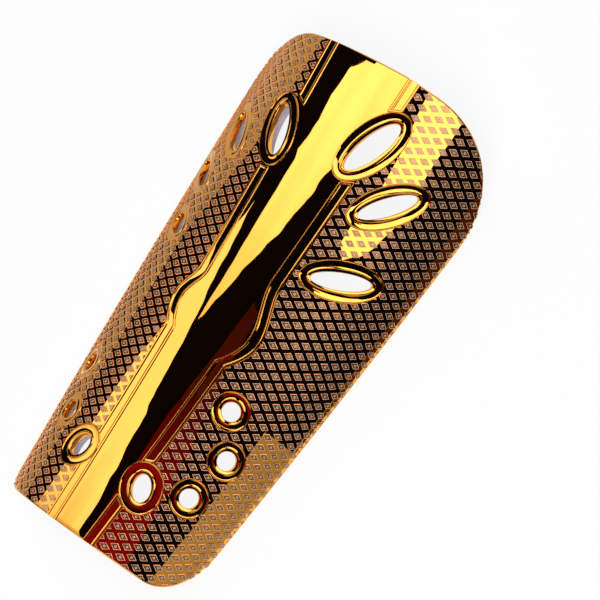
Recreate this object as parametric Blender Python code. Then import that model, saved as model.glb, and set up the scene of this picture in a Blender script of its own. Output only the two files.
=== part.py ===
# Football shin guard for the left leg: a hard shell with a foam liner glued inside it.
# Metres, +Z up, +Y towards the knee, +X towards the outer side of the leg.
# The guard lies on its two long side edges, and the origin is on the ground under its middle.
#
# Every piece is first modelled flat, as if the guard were unrolled: x is the arc from the
# centre line, y the place along the length from the ankle edge, z the height above the
# shell's outer face. roll() then bends it to the section of the guard.

import math

import bmesh
import bpy
from mathutils import Vector

# The shell's form. Each radius, wrap and rise is that of the section at one end.
LENGTH = 0.190
ANKLE_RADIUS = 0.0423
KNEE_RADIUS = 0.058
MIDDLE_SWELL = 0.0011
ANKLE_WRAP = math.radians(68)
KNEE_WRAP = math.radians(64.5)
ANKLE_RISE = 0.0223
KNEE_RISE = 0.036
WAIST_DIP = 0.0038
SHELL_WALL = 0.002

# The outline. A corner is a quarter of an ellipse, this far across and this far along.
KNEE_CORNER_ACROSS = 0.038
KNEE_CORNER_ALONG = 0.038
OUTER_ANKLE_CORNER_ACROSS = 0.018
OUTER_ANKLE_CORNER_ALONG = 0.022
INNER_ANKLE_CORNER_ACROSS = 0.012
INNER_ANKLE_CORNER_ALONG = 0.012
KNEE_EDGE_SLANT_FROM = 0.014
KNEE_EDGE_SLANT = 0.075

# The smooth band down the middle lies between two rails, each a pair of beads with a groove.
BAND_HALF_AT_ANKLE = 0.0065
BAND_HALF_AT_KNEE = 0.0152
RAIL_WIDTH = 0.0042
RAIL_HEIGHT = 0.0009
RAIL_END_GAP = 0.0008

# At mid length the band swells, and its rails with it.
BULGE_OUT = 0.0053
BULGE_AT = 0.087
BULGE_FLAT = 0.008
BULGE_RAMP = 0.0095

# The vents. Each rim is a pair of beads round the hole.
RIM_WIDTH = 0.0037
RIM_HEIGHT = 0.0011

# The foam liner.
LINER_THICKNESS = 0.005
LINER_MARGIN = 0.004
LINER_HOLE_SPARE = 0.0006
GLUE_GAP = 0.0003

# How far a bead or a rim is sunk into the wall that carries it.
SINK = 0.001

# How finely the curved faces are divided. A vent this much longer than wide counts as an oval.
COLUMNS = 22
ROWS = 13
OVAL_SIDES = 18
ROUND_SIDES = 14
RAIL_STEPS = 20
BULGE_STEPS = 12
OVAL_FROM = 1.15
SHARP_ANGLE = math.radians(30)

# Each vent's rim from outside: centre across and along, half length, half width, and the turn
# of its long axis from the cross direction. The outer side of the leg has positive across.
VENT_COLUMNS = ("name", "across", "along", "half_length", "half_width", "turn")
VENTS = (
    ("outer_knee_1", 0.0163, 0.1640, 0.0162, 0.0082, 68),
    ("outer_knee_2", 0.0319, 0.1504, 0.0153, 0.0072, 48),
    ("outer_knee_3", 0.0322, 0.1210, 0.0155, 0.0072, 24),
    ("inner_knee_1", -0.0184, 0.1527, 0.0136, 0.0080, 118),
    ("inner_knee_2", -0.0395, 0.1455, 0.0125, 0.0070, 130),
    ("inner_knee_3", -0.0472, 0.1275, 0.0112, 0.0066, 145),
    ("inner_knee_4", -0.0410, 0.1076, 0.0084, 0.0065, 150),
    ("outer_ankle_1", 0.0132, 0.0256, 0.0094, 0.0079, 115),
    ("outer_ankle_2", 0.0293, 0.0318, 0.0072, 0.0070, 0),
    ("outer_ankle_3", 0.0331, 0.0493, 0.0072, 0.0070, 0),
    ("outer_ankle_4", 0.0245, 0.0639, 0.0071, 0.0069, 0),
    ("inner_ankle_1", -0.0164, 0.0258, 0.0086, 0.0076, 65),
    ("inner_ankle_2", -0.0336, 0.0334, 0.0072, 0.0070, 0),
    ("inner_ankle_3", -0.0412, 0.0510, 0.0072, 0.0070, 0),
)

# The profile across a rail or a rim: share of the width from its outer edge, share of the
# height. A height of None is the sunk foot.
BEAD_PROFILE = (
    (0.0, None),
    (0.10, 1.0),
    (0.34, 1.0),
    (0.52, 0.3),
    (0.68, 1.0),
    (0.86, 1.0),
)
RAIL_FOOT = (1.0, None)
RIM_LIP = (1.2, 0.1)
RIM_FOOT = (1.2, None)


def clear_scene():
    for obj in list(bpy.data.objects):
        bpy.data.objects.remove(obj, do_unlink=True)


def between(start, end, share):
    return start + (end - start) * share


def hump(share):
    """0 at both ends of the length and 1 in its middle."""
    return 4 * share * (1 - share)


def section(along):
    """Radius, half wrap and crown height of the outer face at this place along the length."""
    share = along / LENGTH
    radius = between(ANKLE_RADIUS, KNEE_RADIUS, share) + MIDDLE_SWELL * hump(share)
    wrap = between(ANKLE_WRAP, KNEE_WRAP, share)
    rise = between(ANKLE_RISE, KNEE_RISE, share) - WAIST_DIP * hump(share)
    return radius, wrap, rise


def half_arc(along):
    radius, wrap, _ = section(along)
    return radius * wrap


def rolled(flat):
    """Where a point of the flat pattern lies on the guard."""
    across, along, height = flat
    radius, wrap, rise = section(along)
    angle = across / radius
    crown = rise / (1 - math.cos(wrap))
    x = radius * math.sin(angle)
    z = crown * (math.cos(angle) - math.cos(wrap))
    normal = Vector((crown * math.sin(angle), 0, radius * math.cos(angle))).normalized()
    return Vector((x, along - LENGTH / 2, z)) + normal * height


def roll(bm):
    for vertex in bm.verts:
        vertex.co = rolled(vertex.co)
        vertex.co.z = max(vertex.co.z, 0)


def corner_drop(from_edge, across, along):
    """How far a rounded corner takes the end edge back, at this distance from the side edge."""
    share = max(1 - from_edge / across, 0)
    return along * (1 - math.sqrt(1 - min(share, 1) ** 2))


def knee_edge(side):
    """Place along the length of the knee edge, side being -1 at the inner edge to 1 at the outer."""
    along = LENGTH
    for _ in range(4):
        half = half_arc(along)
        slant = KNEE_EDGE_SLANT * max(KNEE_EDGE_SLANT_FROM - side * half, 0)
        from_edge = (1 - abs(side)) * half
        along = LENGTH - slant - corner_drop(from_edge, KNEE_CORNER_ACROSS, KNEE_CORNER_ALONG)
    return along


def ankle_edge(side):
    if side > 0:
        across, reach = OUTER_ANKLE_CORNER_ACROSS, OUTER_ANKLE_CORNER_ALONG
    else:
        across, reach = INNER_ANKLE_CORNER_ACROSS, INNER_ANKLE_CORNER_ALONG
    along = 0.0
    for _ in range(4):
        along = corner_drop((1 - abs(side)) * half_arc(along), across, reach)
    return along


def slab(top, bottom, margin):
    """A flat sheet with the guard's outline, set in by the margin, between two heights."""
    bm = bmesh.new()
    bmesh.ops.create_grid(bm, x_segments=COLUMNS, y_segments=ROWS, size=1)
    for vertex in bm.verts:
        side = math.sin(vertex.co.x * math.pi / 2)
        share = (vertex.co.y + 1) / 2
        along = between(ankle_edge(side) + margin, knee_edge(side) - margin, share)
        vertex.co = (side * (half_arc(along) - margin), along, top)
    lower = bmesh.ops.extrude_face_region(bm, geom=bm.faces[:], use_keep_orig=True)
    for item in lower["geom"]:
        if isinstance(item, bmesh.types.BMVert):
            item.co.z = bottom
    bmesh.ops.recalc_face_normals(bm, faces=bm.faces)
    return bm


def smooth_step(value):
    value = min(max(value, 0), 1)
    return value * value * (3 - 2 * value)


def bulge(along):
    """How far the rails stand out from their straight line here."""
    from_middle = abs(along - BULGE_AT) - BULGE_FLAT / 2
    return BULGE_OUT * (1 - smooth_step(from_middle / BULGE_RAMP))


def band_half(along):
    return between(BAND_HALF_AT_ANKLE, BAND_HALF_AT_KNEE, along / LENGTH) + bulge(along)


def height_of(share, full):
    return -SINK if share is None else share * full


def rail_stations(side):
    start = RAIL_END_GAP
    end = knee_edge(side * BAND_HALF_AT_KNEE / half_arc(LENGTH)) - RAIL_END_GAP
    reach = BULGE_FLAT / 2 + BULGE_RAMP
    even = [between(start, end, i / RAIL_STEPS) for i in range(RAIL_STEPS + 1)]
    round_bulge = [
        between(BULGE_AT - reach, BULGE_AT + reach, i / BULGE_STEPS) for i in range(BULGE_STEPS + 1)
    ]
    outside = [along for along in even if abs(along - BULGE_AT) > reach]
    return sorted(outside + round_bulge)


def closed_loft(bm, loops):
    """Skins loops of vertices into a tube and closes both ends."""
    for first, second in zip(loops, loops[1:]):
        for i, vertex in enumerate(first):
            after = (i + 1) % len(first)
            bm.faces.new((vertex, first[after], second[after], second[i]))
    bm.faces.new(loops[0])
    bm.faces.new(reversed(loops[-1]))
    bmesh.ops.recalc_face_normals(bm, faces=bm.faces)


def rail(side):
    bm = bmesh.new()
    loops = []
    for along in rail_stations(side):
        outer = band_half(along) + RAIL_WIDTH
        loops.append(
            [
                bm.verts.new((side * (outer - share * RAIL_WIDTH), along, height_of(lift, RAIL_HEIGHT)))
                for share, lift in (*BEAD_PROFILE, RAIL_FOOT)
            ]
        )
    closed_loft(bm, loops)
    return bm


def vent_rows():
    return [dict(zip(VENT_COLUMNS, row)) for row in VENTS]


def sides_of(vent):
    oval = vent["half_length"] > OVAL_FROM * vent["half_width"]
    return OVAL_SIDES if oval else ROUND_SIDES


def vent_loop(bm, vent, inset, height):
    """A ring of vertices along the vent's rim, set in from its outer edge."""
    turn = math.radians(vent["turn"])
    sides = sides_of(vent)
    found = []
    for i in range(sides):
        angle = 2 * math.pi * i / sides
        long_way = (vent["half_length"] - inset) * math.cos(angle)
        short_way = (vent["half_width"] - inset) * math.sin(angle)
        across = vent["across"] + long_way * math.cos(turn) - short_way * math.sin(turn)
        along = vent["along"] + long_way * math.sin(turn) + short_way * math.cos(turn)
        found.append(bm.verts.new((across, along, height)))
    return found


def rims():
    """All the rims' raised rings, still without their holes."""
    bm = bmesh.new()
    for vent in vent_rows():
        loops = [
            vent_loop(bm, vent, share * RIM_WIDTH, height_of(lift, RIM_HEIGHT))
            for share, lift in (*BEAD_PROFILE, RIM_LIP, RIM_FOOT)
        ]
        for first, second in zip(loops, loops[1:] + loops[:1]):
            for i, vertex in enumerate(first):
                after = (i + 1) % len(first)
                bm.faces.new((vertex, first[after], second[after], second[i]))
    bmesh.ops.recalc_face_normals(bm, faces=bm.faces)
    return bm


def vent_plugs(inset, top, bottom):
    """A plug for each vent, set in from its rim's outer edge, between two heights."""
    bm = bmesh.new()
    for vent in vent_rows():
        closed_loft(bm, [vent_loop(bm, vent, inset, top), vent_loop(bm, vent, inset, bottom)])
    return bm


def object_from(name, bm):
    roll(bm)
    mesh = bpy.data.meshes.new(name)
    bm.to_mesh(mesh)
    bm.free()
    mesh.shade_smooth()
    mesh.set_sharp_from_angle(angle=SHARP_ANGLE)
    obj = bpy.data.objects.new(name, mesh)
    bpy.context.scene.collection.objects.link(obj)
    return obj


def helper(name, bm):
    obj = object_from(name, bm)
    obj.hide_render = True
    obj.display_type = "WIRE"
    return obj


def boolean(target, operation, other):
    modifier = target.modifiers.new(f"{operation.lower()} {other.name}", "BOOLEAN")
    modifier.operation = operation
    modifier.object = other
    modifier.solver = "MANIFOLD"


def material(name, color, roughness, metallic):
    made = bpy.data.materials.new(name)
    made.use_nodes = True
    shader = made.node_tree.nodes["Principled BSDF"]
    shader.inputs["Base Color"].default_value = (*color, 1)
    shader.inputs["Roughness"].default_value = roughness
    shader.inputs["Metallic"].default_value = metallic
    return made


def build_shell():
    shell = object_from("shell", slab(0, -SHELL_WALL, 0))
    clearings = helper("rim_clearings", vent_plugs(RIM_WIDTH / 4, 2 * RIM_HEIGHT, -2 * SINK))
    for side, name in ((1, "outer_rail"), (-1, "inner_rail")):
        strip = helper(name, rail(side))
        boolean(strip, "DIFFERENCE", clearings)
        boolean(shell, "UNION", strip)
    boolean(shell, "UNION", helper("rim_rings", rims()))
    holes = vent_plugs(RIM_WIDTH, 3 * RIM_HEIGHT, -2 * SHELL_WALL)
    boolean(shell, "DIFFERENCE", helper("vent_holes", holes))
    shell.data.materials.append(material("gold_plated_plastic", (0.95, 0.62, 0.18), 0.12, 1.0))


def build_liner():
    top = -SHELL_WALL - GLUE_GAP
    bottom = top - LINER_THICKNESS
    liner = object_from("liner", slab(top, bottom, LINER_MARGIN))
    holes = vent_plugs(RIM_WIDTH - LINER_HOLE_SPARE, 0, bottom - LINER_THICKNESS / 2)
    boolean(liner, "DIFFERENCE", helper("liner_holes", holes))
    liner.data.materials.append(material("lilac_foam", (0.70, 0.66, 0.74), 0.9, 0.0))


clear_scene()
build_shell()
build_liner()
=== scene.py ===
import math

import bmesh
import bpy
from mathutils import Matrix, Vector


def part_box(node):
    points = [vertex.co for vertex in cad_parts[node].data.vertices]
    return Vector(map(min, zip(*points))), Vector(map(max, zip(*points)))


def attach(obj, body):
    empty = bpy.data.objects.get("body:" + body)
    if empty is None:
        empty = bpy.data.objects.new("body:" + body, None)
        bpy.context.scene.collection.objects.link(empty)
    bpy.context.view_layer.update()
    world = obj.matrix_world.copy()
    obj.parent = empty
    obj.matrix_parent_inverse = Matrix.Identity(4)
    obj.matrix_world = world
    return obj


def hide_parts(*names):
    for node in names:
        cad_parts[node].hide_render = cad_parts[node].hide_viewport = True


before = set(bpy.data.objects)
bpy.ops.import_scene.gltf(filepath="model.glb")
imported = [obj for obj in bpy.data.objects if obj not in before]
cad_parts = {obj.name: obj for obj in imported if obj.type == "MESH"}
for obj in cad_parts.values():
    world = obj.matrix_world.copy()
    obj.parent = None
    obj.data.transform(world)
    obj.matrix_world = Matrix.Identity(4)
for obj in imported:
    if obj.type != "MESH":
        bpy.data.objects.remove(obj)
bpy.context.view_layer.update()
shellLow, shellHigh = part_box("shell")
print("frame loaded")

# The guard is drawn flat, as if unrolled: x is the arc from the centre line, y the place
# along the length from the ankle edge, z the height above the shell's outer face.
# rolled() bends it to the guard's section. All lengths are metres. Positive x is the
# outer side of the leg.

form = {
    "length": shellHigh[1] - shellLow[1],
    "ankleRadius": 0.0423, "kneeRadius": 0.058, "middleSwell": 0.0011,
    "ankleWrap": math.radians(68), "kneeWrap": math.radians(64.5),
    "ankleRise": 0.0223, "kneeRise": 0.036, "waistDip": 0.0038,
    "wall": 0.002,
}

outline = {
    "kneeCorner": (0.038, 0.038),        # across, along
    "outerAnkleCorner": (0.018, 0.022),
    "innerAnkleCorner": (0.012, 0.012),
    "slantFrom": 0.014, "slant": 0.075,  # the knee edge falls towards the inner side
}

band = {"halfAtAnkle": 0.0065, "halfAtKnee": 0.0152}

bulges = {                               # on the outer and the inner side
    1: {"out": 0.0053, "peak": 0.0875, "below": 0.0120, "above": 0.0210},
    -1: {"out": 0.0042, "peak": 0.0875, "below": 0.0105, "above": 0.0115},
}

# Each vent's rim from outside: its middle, half its length and width, the degrees that its
# long axis is turned from the cross direction, and how wide the rim is round the hole.
ventColumns = ("name", "across", "along", "halfLength", "halfWidth", "turn", "rim")
vents = [dict(zip(ventColumns, row)) for row in (
    ("outerKnee1", 0.0163, 0.1640, 0.0162, 0.0082, 68, 0.0043),
    ("outerKnee2", 0.0319, 0.1504, 0.0153, 0.0072, 48, 0.0042),
    ("outerKnee3", 0.0322, 0.1210, 0.0155, 0.0072, 24, 0.0042),
    ("innerKnee1", -0.0184, 0.1527, 0.0136, 0.0078, 115, 0.0041),
    ("innerKnee2", -0.0395, 0.1455, 0.0125, 0.0070, 130, 0.0036),
    ("innerKnee3", -0.0472, 0.1275, 0.0112, 0.0066, 145, 0.0034),
    ("innerKnee4", -0.0410, 0.1076, 0.0084, 0.0065, 150, 0.0033),
    ("outerAnkle1", 0.0132, 0.0256, 0.0094, 0.0079, 115, 0.0045),
    ("outerAnkle2", 0.0293, 0.0318, 0.0072, 0.0070, 0, 0.0036),
    ("outerAnkle3", 0.0331, 0.0493, 0.0072, 0.0070, 0, 0.0036),
    ("outerAnkle4", 0.0245, 0.0639, 0.0071, 0.0069, 0, 0.0036),
    ("innerAnkle1", -0.0164, 0.0258, 0.0086, 0.0076, 65, 0.0042),
    ("innerAnkle2", -0.0336, 0.0334, 0.0072, 0.0070, 0, 0.0037),
    ("innerAnkle3", -0.0412, 0.0510, 0.0072, 0.0070, 0, 0.0037),
)]


edgeTurns = 4          # the edges and the half arc depend on each other, so they are worked out in turns
mergeGap = 0.000001    # vertices closer than this become one


def between(start, end, share):
    return start + (end - start) * share


def hump(share):
    return 4 * share * (1 - share)


def smoothStep(value):
    value = min(max(value, 0), 1)
    return value * value * (3 - 2 * value)


def section(along):
    share = along / form["length"]
    radius = between(form["ankleRadius"], form["kneeRadius"], share) + form["middleSwell"] * hump(share)
    wrap = between(form["ankleWrap"], form["kneeWrap"], share)
    rise = between(form["ankleRise"], form["kneeRise"], share) - form["waistDip"] * hump(share)
    return radius, wrap, rise


def halfArc(along):
    radius, wrap = section(along)[:2]
    return radius * wrap


def rolled(flat):
    across, along, height = flat
    radius, wrap, rise = section(along)
    angle = across / radius
    crown = rise / (1 - math.cos(wrap))
    x = radius * math.sin(angle)
    z = crown * (math.cos(angle) - math.cos(wrap))
    normal = Vector((crown * math.sin(angle), 0, radius * math.cos(angle))).normalized()
    return Vector((x, along - form["length"] / 2, z)) + normal * height


def cornerDrop(fromEdge, corner):
    across, along = corner
    share = min(max(1 - fromEdge / across, 0), 1)
    return along * (1 - math.sqrt(1 - share ** 2))


# side runs from -1 at the inner edge of the shell to 1 at the outer one
def kneeEdge(side):
    along = form["length"]
    for turn in range(edgeTurns):
        half = halfArc(along)
        slant = outline["slant"] * max(outline["slantFrom"] - side * half, 0)
        along = form["length"] - slant - cornerDrop((1 - abs(side)) * half, outline["kneeCorner"])
    return along


def ankleEdge(side):
    corner = outline["outerAnkleCorner"] if side > 0 else outline["innerAnkleCorner"]
    along = 0
    for turn in range(edgeTurns):
        along = cornerDrop((1 - abs(side)) * halfArc(along), corner)
    return along


def bandHalf(along, side):
    sizes = bulges[side]
    past = along - sizes["peak"]
    if past < 0:
        out = 1 - min(-past / sizes["below"], 1) ** 2
    else:
        out = 1 - smoothStep(past / sizes["above"])
    return between(band["halfAtAnkle"], band["halfAtKnee"], along / form["length"]) + sizes["out"] * out


# Sheets: a grid laid out by a function of two shares and an inset from the border,
# with its border drawn down in rings from the top to the bottom.

def sheet(columns, rows, place, top, bottom, edgeRound=0, roundSegments=3):
    steps = [(edgeRound, top)]               # inset, height
    if edgeRound:
        for turn in range(1, roundSegments + 1):
            angle = math.pi / 2 * turn / roundSegments
            steps.append((edgeRound * (1 - math.sin(angle)), top - edgeRound * (1 - math.cos(angle))))
    steps += [(inset, bottom + top - height) for inset, height in reversed(steps)]
    bm = bmesh.new()
    bmesh.ops.create_grid(bm, x_segments=columns, y_segments=rows, size=1)
    lower = bmesh.ops.extrude_face_region(bm, geom=bm.faces[:], use_keep_orig=True)
    for item in lower["geom"]:
        if isinstance(item, bmesh.types.BMVert):
            item.co.z = -1
    walls = [edge for edge in bm.edges if edge.verts[0].co.z != edge.verts[1].co.z]
    if edgeRound:
        bmesh.ops.subdivide_edges(bm, edges=walls, cuts=len(steps) - 2)
    for vertex in bm.verts:
        inset, height = steps[round(-vertex.co.z * (len(steps) - 1))]
        across, along = place((vertex.co.x + 1) / 2, (vertex.co.y + 1) / 2, inset)
        vertex.co = (across, along, height)
    bmesh.ops.recalc_face_normals(bm, faces=bm.faces)
    return bm


def wholeOutline(margin):
    def place(x, y, inset):
        side = math.sin((x - 0.5) * math.pi)
        clear = margin + inset
        along = between(ankleEdge(side) + clear, kneeEdge(side) - clear, y)
        return side * (halfArc(along) - clear), along
    return place


def rollUp(bm):
    for vertex in bm.verts:
        vertex.co = rolled(vertex.co)
        vertex.co.z = max(vertex.co.z, 0)


def rollPiece(piece, sharpAngle):
    bm = bmesh.new()
    bm.from_mesh(piece.data)
    rollUp(bm)
    bm.to_mesh(piece.data)
    bm.free()
    piece.data.set_sharp_from_angle(angle=math.radians(sharpAngle))


def finished(name, bm, roll=True, sharpAngle=35):
    if roll:
        rollUp(bm)
    mesh = bpy.data.meshes.new(name)
    bm.to_mesh(mesh)
    bm.free()
    mesh.shade_smooth()
    mesh.set_sharp_from_angle(angle=math.radians(sharpAngle))
    made = bpy.data.objects.new(name, mesh)
    bpy.context.scene.collection.objects.link(made)
    return made


def settle(piece):
    # the mesh as its modifiers leave it
    depsgraph = bpy.context.evaluated_depsgraph_get()
    mesh = bpy.data.meshes.new_from_object(piece.evaluated_get(depsgraph))
    piece.modifiers.clear()
    old = piece.data
    piece.data = mesh
    bpy.data.meshes.remove(old)
    mesh.name = piece.name


def carve(piece, operation, tool):
    cut = piece.modifiers.new(operation.lower(), "BOOLEAN")
    cut.operation = operation
    cut.object = tool
    cut.solver = "MANIFOLD"
    settle(piece)


def discard(tool):
    mesh = tool.data
    bpy.data.objects.remove(tool)
    bpy.data.meshes.remove(mesh)


def onVent(vent, x, y, inset, height):
    # x and y are those of a unit circle
    turn = math.radians(vent["turn"])
    longWay = (vent["halfLength"] - inset) * x
    shortWay = (vent["halfWidth"] - inset) * y
    across = vent["across"] + longWay * math.cos(turn) - shortWay * math.sin(turn)
    along = vent["along"] + longWay * math.sin(turn) + shortWay * math.cos(turn)
    return Vector((across, along, height))


def ventPlugs(inset, top, bottom, sides):
    bm = bmesh.new()
    for vent in vents:
        made = bmesh.ops.create_cone(bm, cap_ends=True, segments=sides, radius1=1, radius2=1, depth=2)
        for vertex in made["verts"]:
            height = top if vertex.co.z > 0 else bottom
            vertex.co = onVent(vent, vertex.co.x, vertex.co.y, inset, height)
    return bm


# Hard shell

shellSizes = {
    "columns": 170, "rows": 190, "edgeRound": 0.0006,
    "ventSides": 72, "rimCut": 0.0019, "plugReach": 0.004, "sharpAngle": 35,
}


def makeMoulding():
    sizes = shellSizes
    bm = sheet(sizes["columns"], sizes["rows"], wholeOutline(0), 0, -form["wall"], sizes["edgeRound"])
    moulding = finished("shell_moulding", bm)
    reach = sizes["plugReach"]
    plugs = finished("plugs", ventPlugs(sizes["rimCut"], reach, -reach, sizes["ventSides"]))
    carve(moulding, "DIFFERENCE", plugs)
    discard(plugs)
    moulding.data.set_sharp_from_angle(angle=math.radians(sizes["sharpAngle"]))
    return moulding


# Rails: a flat-topped bead runs round each stretch of rail and leaves a channel in the middle.

railSizes = {
    "width": 0.0048, "overBand": 0.00025, "sink": 0.0009, "corner": 0.0007,
    "sideSteps": 150, "endSteps": 4, "cornerSteps": 5,
    "edgeClear": 0.00025, "ventClear": 0.0003, "outlineSteps": 120, "cutReach": 0.002, "sharpAngle": 50,
}

# metres from the stretch's border, height above the face
ridgeProfile = (
    (0.0, 0.0), (0.00009, 0.00012), (0.00020, 0.00023), (0.00032, 0.00027), (0.00048, 0.00025),
    (0.00064, 0.00024), (0.00080, 0.00026), (0.00090, 0.00022), (0.00100, 0.00012), (0.00112, 0.00006),
    (0.00160, 0.00004),
)

# where each stretch starts and ends along its edges next to the band and next to the pads
stretchColumns = ("side", "startInner", "startOuter", "endInner", "endOuter")
stretches = [dict(zip(stretchColumns, row)) for row in (
    (1, -0.0020, -0.0020, 0.0200, 0.0172),
    (1, 0.0329, 0.0346, 0.1486, 0.1512),
    (1, 0.1763, 0.1790, 0.1925, 0.1925),
    (-1, -0.0020, -0.0020, 0.1398, 0.1398),
    (-1, 0.1632, 0.1654, 0.1925, 0.1925),
)]


def roundedWalk(sizes):
    # the points of a rounded oblong: its inner corner or side, and the way out from there
    corners = ((1, 1), (-1, 1), (-1, -1), (1, -1))
    walk = []
    for turn, (x, y) in enumerate(corners):
        for step in range(sizes["cornerSteps"] + 1):
            angle = math.pi / 2 * (turn + step / sizes["cornerSteps"])
            walk.append((x, y, math.cos(angle), math.sin(angle)))
        nextX, nextY = corners[(turn + 1) % 4]
        steps = sizes["endSteps"] if turn % 2 == 0 else sizes["sideSteps"]
        for step in range(1, steps):
            share = step / steps
            place = (between(x, nextX, share), between(y, nextY, share))
            walk.append((*place, math.cos(angle), math.sin(angle)))
    return walk


def railStretch(stretch):
    sizes = railSizes
    side = stretch["side"]
    walk = roundedWalk(sizes)
    steps = [(sizes["width"] / 2, -sizes["sink"]), (0, -sizes["sink"]), *ridgeProfile,
             (sizes["width"] / 2, ridgeProfile[-1][1])]
    length = stretch["endInner"] - stretch["startInner"]
    bm = bmesh.new()
    bmesh.ops.create_grid(bm, x_segments=len(walk), y_segments=len(steps) - 1, size=1)
    for vertex in bm.verts:
        x, y, outX, outY = walk[round((vertex.co.x + 1) / 2 * len(walk)) % len(walk)]
        inset, height = steps[round((vertex.co.y + 1) / 2 * (len(steps) - 1))]
        corner = max(sizes["corner"] - inset, 0)
        across = x * (sizes["width"] / 2 - inset - corner) + outX * corner
        along = y * (length / 2 - inset - corner) + outY * corner
        shareAcross = across / sizes["width"] + 0.5
        start = between(stretch["startInner"], stretch["startOuter"], shareAcross)
        end = between(stretch["endInner"], stretch["endOuter"], shareAcross)
        along = between(start, end, along / length + 0.5)
        fromMiddle = bandHalf(along, side) - sizes["overBand"] + shareAcross * sizes["width"]
        vertex.co = (side * fromMiddle, along, height)
    bmesh.ops.remove_doubles(bm, verts=bm.verts, dist=mergeGap)
    bmesh.ops.recalc_face_normals(bm, faces=bm.faces)
    return bm


def makeRails():
    sizes = railSizes
    steps, reach = sizes["outlineSteps"], sizes["cutReach"]
    plugReach = shellSizes["plugReach"]
    plugs = ventPlugs(sizes["ventClear"], plugReach, -plugReach, shellSizes["ventSides"])
    clearings = finished("clearings", plugs, roll=False)
    whole = sheet(steps, steps, wholeOutline(sizes["edgeClear"]), reach, -reach)
    inside = finished("inside", whole, roll=False)
    rails = []
    for side, name in ((1, "rail_outer"), (-1, "rail_inner")):
        bm = bmesh.new()
        for stretch in stretches:
            if stretch["side"] == side:
                part = finished("part", railStretch(stretch), roll=False)
                bm.from_mesh(part.data)
                discard(part)
        rail = finished(name, bm, roll=False)
        carve(rail, "DIFFERENCE", clearings)
        carve(rail, "INTERSECT", inside)
        rollPiece(rail, sizes["sharpAngle"])
        rails.append(rail)
    discard(clearings)
    discard(inside)
    return rails


# Vent rims: from the outer edge, over a thin ridge and a wide flat dish, to a beaded lip
# round the hole, down the hole's wall and back under the moulding.

rimOuter = (                             # metres in from the rim's outer edge, height
    (0.0, -0.0003), (0.0, 0.0), (0.00008, 0.00013), (0.00018, 0.00025), (0.00030, 0.00030),
    (0.00042, 0.00026), (0.00056, 0.00017), (0.00080, 0.00012),
)
rimLip = (                               # metres out from the hole, height
    (0.00190, 0.00006), (0.00122, 0.00008), (0.00112, 0.00014), (0.00103, 0.00018), (0.00094, 0.00014),
    (0.00084, 0.00008), (0.00024, 0.00007), (0.00013, 0.00004), (0.00004, -0.00003), (0.0, -0.00012),
    (-0.00005, -0.00195),
)
rimUnder = ((0.0013, -0.00195), (0.0008, -0.0012))


def makeRims():
    bm = bmesh.new()
    for vent in vents:
        steps = [*rimOuter, *((vent["rim"] - out, height) for out, height in rimLip), *rimUnder]
        made = bmesh.ops.create_grid(bm, x_segments=shellSizes["ventSides"], y_segments=len(steps), size=1)
        for vertex in made["verts"]:
            angle = math.pi * vertex.co.x
            inset, height = steps[round((vertex.co.y + 1) / 2 * len(steps)) % len(steps)]
            vertex.co = onVent(vent, math.cos(angle), math.sin(angle), inset, height)
    bmesh.ops.remove_doubles(bm, verts=bm.verts, dist=mergeGap)
    bmesh.ops.recalc_face_normals(bm, faces=bm.faces)
    return finished("vent_rims", bm, sharpAngle=railSizes["sharpAngle"])


# Diamond pads

padSizes = {
    "stepAcross": 0.00336, "stepAlong": 0.00204,    # half a diamond each way
    "foot": 0.68, "top": 0.62,                      # shares of the diamond's cell
    "height": 0.00030, "sink": 0.0004,
    "frame": 0.00019, "recess": 0.00008,
    "eyeRadius": 0.00042, "eyeFoot": 1.1, "eyeSides": 8, "eyeRise": 0.00010,
    "eyeLip": 0.00018, "eyePit": 0.00012, "eyePitSlope": 0.00006,
    "edgeMargin": 0.0007, "railGap": 0.0001, "rimGap": 0.0001,
    "spareRows": 3, "placeTurns": 5, "fieldColumns": 90, "fieldRows": 160, "fieldReach": 0.001,
    "plugSides": 48, "plugReach": 0.002, "brightDepth": 0.00002, "sharpAngle": 25,
}

padStarts = {1: (0.0039, 0.0005), -1: (0.0004, 0.0015)}  # where one diamond's middle lies


def upwardFaces(bm):
    bm.normal_update()
    return [face for face in bm.faces if face.normal.z > 0.9]


def padPattern():
    # two neighbouring pads, each a low frustum with a raised frame round a sunken middle; the rings in their
    # middles come from padEyes
    sizes = padSizes
    bm = bmesh.new()
    for x, y in ((0, 0), (sizes["stepAcross"], sizes["stepAlong"])):
        low, high = -sizes["sink"], sizes["height"]
        made = bmesh.ops.create_cone(bm, cap_ends=True, segments=4, radius1=sizes["foot"],
                                     radius2=sizes["top"], depth=high - low)
        for vertex in made["verts"]:
            vertex.co.x = vertex.co.x * sizes["stepAcross"] + x
            vertex.co.y = vertex.co.y * sizes["stepAlong"] + y
            vertex.co.z += (high + low) / 2
    tops = upwardFaces(bm)
    bmesh.ops.inset_individual(bm, faces=tops, thickness=sizes["frame"])
    bmesh.ops.inset_individual(bm, faces=tops, thickness=sizes["recess"], depth=-sizes["recess"])
    return bm


def padEyes():
    sizes = padSizes
    bm = bmesh.new()
    for x, y in ((0, 0), (sizes["stepAcross"], sizes["stepAlong"])):
        low = sizes["height"] / 2
        high = sizes["height"] - sizes["recess"] + sizes["eyeRise"]
        place = Matrix.Translation((x, y, (low + high) / 2))
        bmesh.ops.create_cone(bm, cap_ends=True, segments=sizes["eyeSides"],
                              radius1=sizes["eyeRadius"] * sizes["eyeFoot"], radius2=sizes["eyeRadius"],
                              depth=high - low, matrix=place)
    tops = upwardFaces(bm)
    bmesh.ops.inset_individual(bm, faces=tops, thickness=sizes["eyeLip"])
    bmesh.ops.inset_individual(bm, faces=tops, thickness=sizes["eyePitSlope"], depth=-sizes["eyePit"])
    return bm


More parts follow.
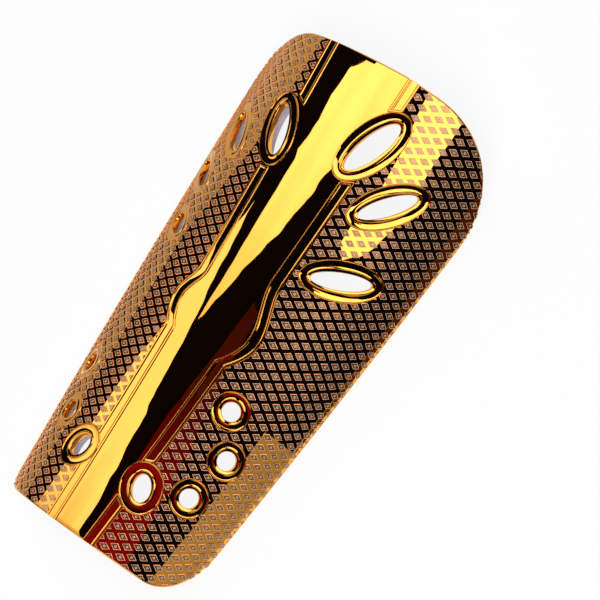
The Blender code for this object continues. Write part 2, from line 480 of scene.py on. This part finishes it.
def diamondField():
    sizes = padSizes
    pads = finished("pads", padPattern(), roll=False)
    eyes = finished("eyes", padEyes(), roll=False)
    carve(pads, "UNION", eyes)
    discard(eyes)
    halfWide = halfArc(form["length"])
    counts = (math.ceil(halfWide / sizes["stepAcross"]), math.ceil(form["length"] / sizes["stepAlong"] / 2))
    steps = ((2 * sizes["stepAcross"], 0, 0), (0, 2 * sizes["stepAlong"], 0))
    for count, step in zip(counts, steps):
        row = pads.modifiers.new("row", "ARRAY")
        row.count = count + sizes["spareRows"]
        row.use_relative_offset = False
        row.use_constant_offset = True
        row.constant_offset_displace = step
    settle(pads)
    # the field starts a little past the shell's inner side and its ankle end
    startAcross = -2 * sizes["stepAcross"] * (math.ceil(halfWide / sizes["stepAcross"] / 2) + 1)
    pads.data.transform(Matrix.Translation((startAcross, -4 * sizes["stepAlong"], 0)))
    return pads


def paintPads(pads, finishes):
    # mirror-gold sides, frames and rings made brighter as painted highlight, hollows made darker as painted
    # shade
    sizes = padSizes
    pads.data.materials.clear()
    for finish in finishes:
        pads.data.materials.append(finish)
    bm = bmesh.new()
    bm.from_mesh(pads.data)
    bm.normal_update()
    for face in bm.faces:
        height = face.calc_center_median().z
        # the frames and the ring tops get the lighter copy: painted highlight
        if height > sizes["height"] - sizes["brightDepth"]:
            face.material_index = 1
        # the recess floors and the eye pits get the darker copy: painted shade
        elif height > sizes["height"] / 2 and face.normal.z > 0.3:
            face.material_index = 2
        else:
            face.material_index = 0
    bm.to_mesh(pads.data)
    bm.free()


def padsBeside(side, name, pattern, finishes):
    sizes = padSizes

    def place(x, y, inset):
        # from the rail to the shell's edge, and between the two ends
        along = y * form["length"]
        for turn in range(sizes["placeTurns"]):
            inner = bandHalf(along, side) + railSizes["width"] - railSizes["overBand"] + sizes["railGap"]
            outer = halfArc(along) - sizes["edgeMargin"]
            across = between(inner, outer, math.sin(x * math.pi / 2))
            share = side * across / halfArc(along)
            along = between(ankleEdge(share) + sizes["edgeMargin"], kneeEdge(share) - sizes["edgeMargin"], y)
        return side * across, along
    reach = sizes["fieldReach"]
    bm = sheet(sizes["fieldColumns"], sizes["fieldRows"], place, reach, -reach)
    field = finished("field", bm, roll=False)
    reach = sizes["plugReach"]
    plugs = finished("plugs", ventPlugs(-sizes["rimGap"], reach, -reach, sizes["plugSides"]), roll=False)
    carve(field, "DIFFERENCE", plugs)
    discard(plugs)
    pads = pattern.copy()
    pads.data = pattern.data.copy()
    pads.data.transform(Matrix.Translation((*padStarts[side], 0)))
    pads.name = name
    bpy.context.scene.collection.objects.link(pads)
    carve(pads, "INTERSECT", field)
    discard(field)
    paintPads(pads, finishes)
    rollPiece(pads, sizes["sharpAngle"])
    return pads


# Foam liner

linerSizes = {
    "columns": 100, "rows": 120, "thickness": 0.005, "margin": 0.004, "glueGap": 0.0003,
    "edgeRound": 0.0011, "roundSegments": 4, "sharpAngle": 40,
    "holeInset": 0.0005, "holeSides": 48, "plugAbove": 0.001, "plugBelow": 0.003,
}


def makeLiner():
    sizes = linerSizes
    top = -form["wall"] - sizes["glueGap"]
    bottom = top - sizes["thickness"]
    bm = sheet(sizes["columns"], sizes["rows"], wholeOutline(sizes["margin"]), top, bottom,
               sizes["edgeRound"], sizes["roundSegments"])
    liner = finished("liner_foam", bm)
    plugs = finished("plugs", ventPlugs(sizes["holeInset"], sizes["plugAbove"], bottom - sizes["plugBelow"],
                                        sizes["holeSides"]))
    carve(liner, "DIFFERENCE", plugs)
    discard(plugs)
    liner.data.set_sharp_from_angle(angle=math.radians(sizes["sharpAngle"]))
    return liner


# Materials

class Wire:
    # a socket of a material's node tree, with arithmetic
    def __init__(self, tree, socket):
        self.tree = tree
        self.socket = socket

    def node(self, kind, settings=None, inputs=None, output=0):
        made = self.tree.nodes.new(kind)
        for name, value in (settings or {}).items():
            setattr(made, name, value)
        for name, value in (inputs or {}).items():
            if isinstance(value, Wire):
                self.tree.links.new(value.socket, made.inputs[name])
            else:
                made.inputs[name].default_value = value
        return Wire(self.tree, made.outputs[output])

    def math(self, operation, *values):
        return self.node("ShaderNodeMath", {"operation": operation}, dict(enumerate(values)))

    def __add__(self, other):
        return self.math("ADD", self, other)

    def __radd__(self, other):
        return self.math("ADD", other, self)

    def __sub__(self, other):
        return self.math("SUBTRACT", self, other)

    def __rsub__(self, other):
        return self.math("SUBTRACT", other, self)

    def __mul__(self, other):
        return self.math("MULTIPLY", self, other)

    def __rmul__(self, other):
        return self.math("MULTIPLY", other, self)

    def mixed(self, low, high):
        # a colour between two others, by this value; 6, 7 and 2 are the colour sockets
        return self.node("ShaderNodeMix", {"data_type": "RGBA"}, {0: self, 6: low, 7: high}, output=2)


def objectPlaces(tree):
    return Wire(tree, None).node("ShaderNodeTexCoord", output=3)


def startMaterial(name, constants):
    made = bpy.data.materials.new(name)
    made.use_nodes = True
    tree = made.node_tree
    shader = tree.nodes["Principled BSDF"]
    for socket, value in constants.items():
        shader.inputs[socket].default_value = value
    return made, shader, objectPlaces(tree)


def plug(shader, name, wire):
    wire.tree.links.new(wire.socket, shader.inputs[name])


def noise(places, scale, detail=2):
    return places.node("ShaderNodeTexNoise", None, {"Vector": places, "Scale": scale, "Detail": detail})


def bumped(shader, height, strength, distance):
    inputs = {"Height": height, "Strength": strength, "Distance": distance}
    plug(shader, "Normal", height.node("ShaderNodeBump", None, inputs))


# mirror plating: slow ripples, a little unevenness in tone and hardly any haze
plating = {
    "low": (0.87, 0.385, 0.062, 1), "high": (0.93, 0.45, 0.090, 1), "toneScale": 45,
    "rippleScale": 60, "rippleDepth": 0.00008, "rippleStrength": 1.0,
    "hazeScale": 200, "smoothest": 0.004, "haze": 0.016,
}


def mirrorGold():
    sizes = plating
    made, shader, places = startMaterial("mirror_gold", {"Metallic": 1.0})
    bumped(shader, noise(places, sizes["rippleScale"], detail=1),
           sizes["rippleStrength"], sizes["rippleDepth"])
    plug(shader, "Base Color", noise(places, sizes["toneScale"]).mixed(sizes["low"], sizes["high"]))
    haze = noise(places, sizes["hazeScale"], detail=3) * sizes["haze"]
    plug(shader, "Roughness", haze + sizes["smoothest"])
    return made


# the diamonds' satin faces: their grain and rose-gold tone are their own, but the frames and rings get
# lighter colours as painted highlight and the hollows between them darker colours as painted shade
grainAndPaintedLight = {
    "grainScale": 3500, "grainShare": 0.6, "grainDepth": 0.00006, "grainStrength": 0.3,
    "cloudScale": 120, "haze": 0.2, "shine": 0.35,
    # lighter colours for the frames and rings: painted highlight
    "frame": {"low": (0.76, 0.42, 0.25, 1), "high": (1.0, 0.62, 0.42, 1),
              "metallic": 0.25, "smoothest": 0.4},
    # darker colours for the hollows: painted shade
    "hollow": {"low": (0.40, 0.21, 0.09, 1), "high": (0.60, 0.33, 0.15, 1),
               "metallic": 0.92, "smoothest": 0.14},
}


def satinGoldWithPaintedLight(name, finish):
    sizes = grainAndPaintedLight
    constants = {"Metallic": finish["metallic"], "Specular IOR Level": sizes["shine"]}
    made, shader, places = startMaterial(name, constants)
    grain = noise(places, sizes["grainScale"], detail=3)
    cloud = noise(places, sizes["cloudScale"])
    tone = grain * sizes["grainShare"] + cloud * (1 - sizes["grainShare"])
    bumped(shader, grain, sizes["grainStrength"], sizes["grainDepth"])
    plug(shader, "Base Color", tone.mixed(finish["low"], finish["high"]))
    plug(shader, "Roughness", finish["smoothest"] + grain * sizes["haze"])
    return made


cellFoam = {
    "low": (0.46, 0.42, 0.50, 1), "high": (0.60, 0.56, 0.64, 1),
    "poreScale": 1500, "poreShare": 0.5, "softScale": 250, "depth": 0.0003,
    "strength": 0.5, "smoothest": 0.82, "haze": 0.12, "shine": 0.3,
}


def lilacFoam():
    sizes = cellFoam
    made, shader, places = startMaterial("lilac_foam", {"Specular IOR Level": sizes["shine"]})
    pores = places.node("ShaderNodeTexVoronoi", {"feature": "F1"},
                        {"Vector": places, "Scale": sizes["poreScale"]})
    soft = noise(places, sizes["softScale"], detail=3)
    bumped(shader, pores * sizes["poreShare"] + soft, sizes["strength"], sizes["depth"])
    plug(shader, "Base Color", soft.mixed(sizes["low"], sizes["high"]))
    plug(shader, "Roughness", sizes["smoothest"] + soft * sizes["haze"])
    return made


# Pieces

gold = mirrorGold()
# lighter and darker copies of one satin gold: painted highlight for the pads' frames and rings, painted
# shade for their hollows
padPaintedHighlight = satinGoldWithPaintedLight("rose_gold_satin_painted_highlight", grainAndPaintedLight["frame"])
padPaintedShade = satinGoldWithPaintedLight("rose_gold_satin_painted_shade", grainAndPaintedLight["hollow"])
foam = lilacFoam()

moulding = makeMoulding()
rails = makeRails()
rims = makeRims()
print("hard shell made")

pattern = diamondField()
padFinishes = (gold, padPaintedHighlight, padPaintedShade)
padPieces = [padsBeside(1, "diamond_pads_outer", pattern, padFinishes),
             padsBeside(-1, "diamond_pads_inner", pattern, padFinishes)]
discard(pattern)
print("diamond pads made")

liner = makeLiner()
print("foam liner made")

for piece in [moulding, *rails, rims]:
    piece.data.materials.clear()
    piece.data.materials.append(gold)

for piece in [moulding, *rails, rims, *padPieces]:
    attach(piece, "root")
    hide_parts("shell")

liner.data.materials.clear()
liner.data.materials.append(foam)
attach(liner, "root")
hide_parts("liner")

# Studio

studio = {
    "floorHalf": 4.0,
    "tentRadius": 0.40,
    "tilt": math.radians(-1.77), "roll": math.radians(-26.78), "turn": math.radians(-34.61),
    "distance": 1.300,
    "pixelsPerMetre": 2934.9,          # at the guard's middle
    "middlePixel": (235.6, 304.5),     # where the photo shows that middle
    "photoPixels": 600,
    "middleHeight": 0.015,
    "sensorWidth": 36, "nearest": 0.05,
    "floorColor": (0.14, 0.14, 0.14, 1), "floorGlow": 0.84, "floorDrop": 0.0001,
    "floorRoughness": 0.9,
    "mottle": 1.3, "mottleScale": 11, "panelCuts": 5,
    "surroundings": (0.004, 0.003, 0.002, 1),
    "mirrorStep": 0.0001,
}


def cameraTurn():
    return (Matrix.Rotation(studio["turn"], 3, "Z") @ Matrix.Rotation(studio["tilt"], 3, "X")
            @ Matrix.Rotation(studio["roll"], 3, "Y")).transposed()


def cameraPlace():
    return cameraTurn() @ Vector((0, 0, studio["distance"])) + Vector((0, 0, studio["middleHeight"]))


def slope(flat, step):
    return rolled(flat + step) - rolled(flat - step)


def mirrored(*places):
    # the tent's corners that the camera sees mirrored at these places, across and along, of the shell
    eye = cameraPlace()
    reach = studio["tentRadius"]
    step = studio["mirrorStep"]
    corners = []
    for across, along in places:
        flat = Vector((across, along, 0))
        start = rolled(flat)
        facing = slope(flat, Vector((step, 0, 0))).cross(slope(flat, Vector((0, step, 0))))
        ray = (start - eye).normalized().reflect(facing)
        level = ray.x ** 2 + ray.z ** 2
        nearing = start.x * ray.x + start.z * ray.z
        left = reach ** 2 - start.x ** 2 - start.z ** 2
        end = start + ray * ((math.sqrt(nearing ** 2 + level * left) - nearing) / level)
        corners.append((math.degrees(math.atan2(end.x, end.z)), end.y))
    return corners


# Softboxes and coloured cards of a light tent round the guard: each corner is degrees round
# the guard from straight up, towards its outer side, and metres along from its middle. Corners
# inside mirrored() are the places on the guard's face where the photo shows a streak's border.
# A panel has its color at the first place along that fade names and its deep at the second.
tent = {
    "kneeBox": {
        "color": (1.0, 0.98, 0.93), "deep": (0.70, 0.64, 0.48), "strength": 2.35, "fade": (0.03, -0.04),
        "corners": (
            *mirrored((-0.0039, 0.084), (-0.0042, 0.100), (-0.0052, 0.123), (-0.0054, 0.145),
                      (-0.0064, 0.152), (-0.0054, 0.160), (-0.0063, 0.170), (-0.0053, 0.182),
                      (-0.0020, 0.186)),
            (-21.0, 0.034), (-21.0, 0.16), (15.5, 0.16), (15.5, 0.030), (12.0, 0.024), (3.0, 0.020),
            (-4.0, 0.012),
            *mirrored((0.0081, 0.149), (0.0068, 0.140), (0.0058, 0.130), (0.0040, 0.121),
                      (0.0020, 0.112), (-0.0004, 0.100), (-0.0032, 0.086)))},
    "kneeSideBox": {
        "color": (1.0, 0.98, 0.92), "deep": (1.0, 0.93, 0.78), "strength": 2.6, "fade": (0.05, 0.0),
        "corners": (
            *mirrored((0.0245, 0.131), (0.0245, 0.140), (0.0265, 0.150), (0.0258, 0.170),
                      (0.0235, 0.185)),
            (24.1, 0.16), (56.0, 0.16),
            *mirrored((0.0380, 0.190), (0.0372, 0.170), (0.0380, 0.150), (0.0358, 0.140),
                      (0.0330, 0.131)),
            (30.0, -0.009))},
    "ankleBox": {
        "color": (1.0, 0.99, 0.92), "deep": (0.54, 0.47, 0.34), "strength": 1.85, "fade": (-0.085, -0.135),
        "corners": (
            *mirrored((-0.0105, 0.126), (-0.0095, 0.118), (-0.0083, 0.108), (-0.0076, 0.100),
                      (-0.0059, 0.090), (-0.0045, 0.080), (-0.0037, 0.070), (-0.0029, 0.060),
                      (-0.0017, 0.050), (-0.0005, 0.046), (0.0, 0.040), (0.0010, 0.030),
                      (0.0025, 0.020), (0.0032, 0.010), (0.0036, 0.0)),
            (-15.0, -0.22), (-75.0, -0.22),
            *mirrored((-0.0173, 0.0), (-0.0172, 0.025), (-0.0173, 0.050), (-0.0165, 0.062),
                      (-0.0150, 0.072), (-0.0145, 0.090), (-0.0130, 0.110)))},
    "redCard": {
        "color": (1.0, 0.02, 0.02), "deep": (0.22, 0.012, 0.01), "strength": 0.24, "fade": (-0.12, -0.06),
        "corners": (
            *mirrored((0.0066, 0.0), (0.0065, 0.025), (0.0064, 0.050), (0.0073, 0.060)),
            (3.0, -0.064), (8.2, -0.064), (13.4, -0.074),
            *mirrored((0.0210, 0.035), (0.0225, 0.020), (0.0245, 0.0)),
            (40.0, -0.22), (-5.0, -0.22))},
    "brownCard": {
        "color": (1.0, 0.16, 0.06), "deep": (0.6, 0.10, 0.04), "strength": 0.075, "fade": (-0.064, -0.04),
        "corners": (
            *mirrored((0.0073, 0.060), (0.0088, 0.078), (0.0102, 0.100), (0.0140, 0.098),
                      (0.0150, 0.076)),
            (8.2, -0.064))},
    "ankleWall": {
        "color": (1.0, 0.97, 0.90), "deep": (0.8, 0.76, 0.68), "strength": 0.5, "fade": (-0.2, -0.08),
        "corners": (
            (55, -0.066), (58, -0.13), (60, -0.30), (100, -0.30), (100, -0.066))},
    "innerWall": {
        "color": (1.0, 0.97, 0.90), "deep": (0.8, 0.76, 0.68), "strength": 0.55, "fade": (0.1, 0.0),
        "corners": (
            (-73, 0.20), (-73, 0.032), (-78, 0.020), (-84, 0.008), (-90, -0.010), (-100, -0.010),
            (-100, 0.20))},
    # beyond what the photo's view reflects, for the other sides
    "kneeEndBox": {
        "color": (1.0, 0.98, 0.93), "deep": (0.8, 0.76, 0.68), "strength": 1.1, "fade": (0.8, 0.3),
        "corners": ((-60, 0.30), (-60, 2.60), (60, 2.60), (60, 0.45), (12, 0.30))},
    "ankleEndBox": {
        "color": (1.0, 0.98, 0.93), "deep": (0.8, 0.76, 0.68), "strength": 1.1, "fade": (-0.8, -0.35),
        "corners": ((-60, -2.60), (-60, -0.34), (55, -0.34), (55, -2.60))},
    "innerBox": {
        "color": (1.0, 0.98, 0.93), "deep": (0.7, 0.66, 0.58), "strength": 0.9, "fade": (0.4, -0.4),
        "corners": ((-72, -0.90), (-72, -0.26), (-62, -0.26), (-62, -0.90))},
}


def tentPanel(name, panel):
    bm = bmesh.new()
    corners = [bm.verts.new((math.radians(angle), along, 0)) for angle, along in panel["corners"]]
    bm.faces.new(corners)
    bmesh.ops.triangulate(bm, faces=bm.faces)
    bmesh.ops.subdivide_edges(bm, edges=bm.edges, cuts=studio["panelCuts"], use_grid_fill=True)
    for vertex in bm.verts:
        angle, along = vertex.co.x, vertex.co.y
        reach = studio["tentRadius"]
        vertex.co = (reach * math.sin(angle), along, reach * math.cos(angle))
    panelObject(name, bm, panel)


def panelObject(name, bm, panel):
    mesh = bpy.data.meshes.new(name)
    bm.to_mesh(mesh)
    bm.free()
    made = bpy.data.objects.new(name, mesh)
    bpy.context.scene.collection.objects.link(made)
    material = bpy.data.materials.new(name)
    material.use_nodes = True
    shader = material.node_tree.nodes["Principled BSDF"]
    shader.inputs["Base Color"].default_value = (0, 0, 0, 1)
    shader.inputs["Specular IOR Level"].default_value = 0
    shader.inputs["Emission Strength"].default_value = panel["strength"]
    places = objectPlaces(material.node_tree)
    along = places.node("ShaderNodeSeparateXYZ", None, {0: places}, output=1)
    bright, dim = panel["fade"]
    mottle = (noise(places, studio["mottleScale"]) - 0.5) * studio["mottle"]
    share = (along - dim) * (1 / (bright - dim)) + mottle
    share = share.math("MAXIMUM", share.math("MINIMUM", share, 1), 0)
    plug(shader, "Emission Color", share.mixed((*panel["deep"], 1), (*panel["color"], 1)))
    mesh.materials.append(material)
    made.visible_camera = False
    made.visible_diffuse = False
    made.visible_shadow = False


# Dim cards on the floor beside the flanks: the middle and half the size of each.
floorCards = {
    "outerKneeCard": {"color": (1.0, 0.45, 0.20), "deep": (0.6, 0.20, 0.08), "strength": 0.10,
                      "fade": (-0.02, 0.04), "middle": (2.0, 0.050, 0.0008), "half": (1.948, 0.083)},
    "outerAnkleCard": {"color": (1.0, 0.94, 0.84), "deep": (0.8, 0.74, 0.64), "strength": 0.58,
                       "fade": (-0.12, -0.04), "middle": (0.352, -0.135, 0.0008), "half": (0.300, 0.100)},
    "innerCard": {"color": (1.0, 0.95, 0.86), "deep": (0.85, 0.78, 0.68), "strength": 0.66,
                  "fade": (0.10, -0.05), "middle": (-0.352, 0.0, 0.0008), "half": (0.300, 0.230)},
}


def makeFloorCard(name, card):
    bm = bmesh.new()
    bmesh.ops.create_grid(bm, x_segments=1, y_segments=1, size=1)
    for vertex in bm.verts:
        vertex.co.x *= card["half"][0]
        vertex.co.y *= card["half"][1]
        vertex.co += Vector(card["middle"])
    panelObject(name, bm, card)


def makeFloor():
    bm = bmesh.new()
    bmesh.ops.create_grid(bm, x_segments=1, y_segments=1, size=studio["floorHalf"])
    floor = finished("floor", bm, roll=False)
    floor.data.transform(Matrix.Translation((0, 0, -studio["floorDrop"])))
    material = bpy.data.materials.new("pale_floor")
    material.use_nodes = True
    shader = material.node_tree.nodes["Principled BSDF"]
    shader.inputs["Base Color"].default_value = studio["floorColor"]
    shader.inputs["Roughness"].default_value = studio["floorRoughness"]
    shader.inputs["Specular IOR Level"].default_value = 0
    shader.inputs["Emission Color"].default_value = (1, 1, 1, 1)
    shader.inputs["Emission Strength"].default_value = studio["floorGlow"]
    floor.data.materials.append(material)


# soft lights for the pads, the foam and the floor; the mirror gold sees only the tent
lights = {
    "keyLight": {"place": (0.5, -0.3, 1.2), "size": 1.2, "power": 19, "color": (1.0, 0.99, 0.97)},
    "fillLight": {"place": (-0.8, 0.5, 0.9), "size": 1.0, "power": 8, "color": (0.97, 0.98, 1.0)},
}


def makeLight(name, lamp):
    data = bpy.data.lights.new(name, "AREA")
    data.shape = "SQUARE"
    data.size = lamp["size"]
    data.energy = lamp["power"]
    data.color = lamp["color"]
    light = bpy.data.objects.new(name, data)
    light.location = lamp["place"]
    light.rotation_mode = "QUATERNION"
    light.rotation_quaternion = (-Vector(lamp["place"])).to_track_quat("-Z", "Y")
    light.visible_glossy = False
    light.visible_camera = False
    bpy.context.scene.collection.objects.link(light)


def makeCamera():
    data = bpy.data.cameras.new("camera")
    camera = bpy.data.objects.new("camera", data)
    bpy.context.scene.collection.objects.link(camera)
    pixelLength = studio["pixelsPerMetre"] * studio["distance"]
    middle = studio["photoPixels"] / 2
    pixelX, pixelY = studio["middlePixel"]
    aim = Vector((middle - pixelX, pixelY - middle, -pixelLength))
    pan = Vector((0, 0, -1)).rotation_difference(aim)
    camera.rotation_mode = "QUATERNION"
    camera.rotation_quaternion = cameraTurn().to_quaternion() @ pan
    camera.location = cameraPlace()
    data.sensor_width = studio["sensorWidth"]
    data.lens = data.sensor_width * pixelLength / studio["photoPixels"]
    data.clip_start = studio["nearest"]
    bpy.context.scene.camera = camera


for name, panel in tent.items():
    tentPanel(name, panel)
for name, card in floorCards.items():
    makeFloorCard(name, card)
makeFloor()
for name, lamp in lights.items():
    makeLight(name, lamp)
makeCamera()
bpy.context.scene.view_settings.view_transform = "Standard"
world = bpy.data.worlds.new("dark_studio")
bpy.context.scene.world = world
world.use_nodes = True
world.node_tree.nodes["Background"].inputs["Color"].default_value = studio["surroundings"]
print("studio made")
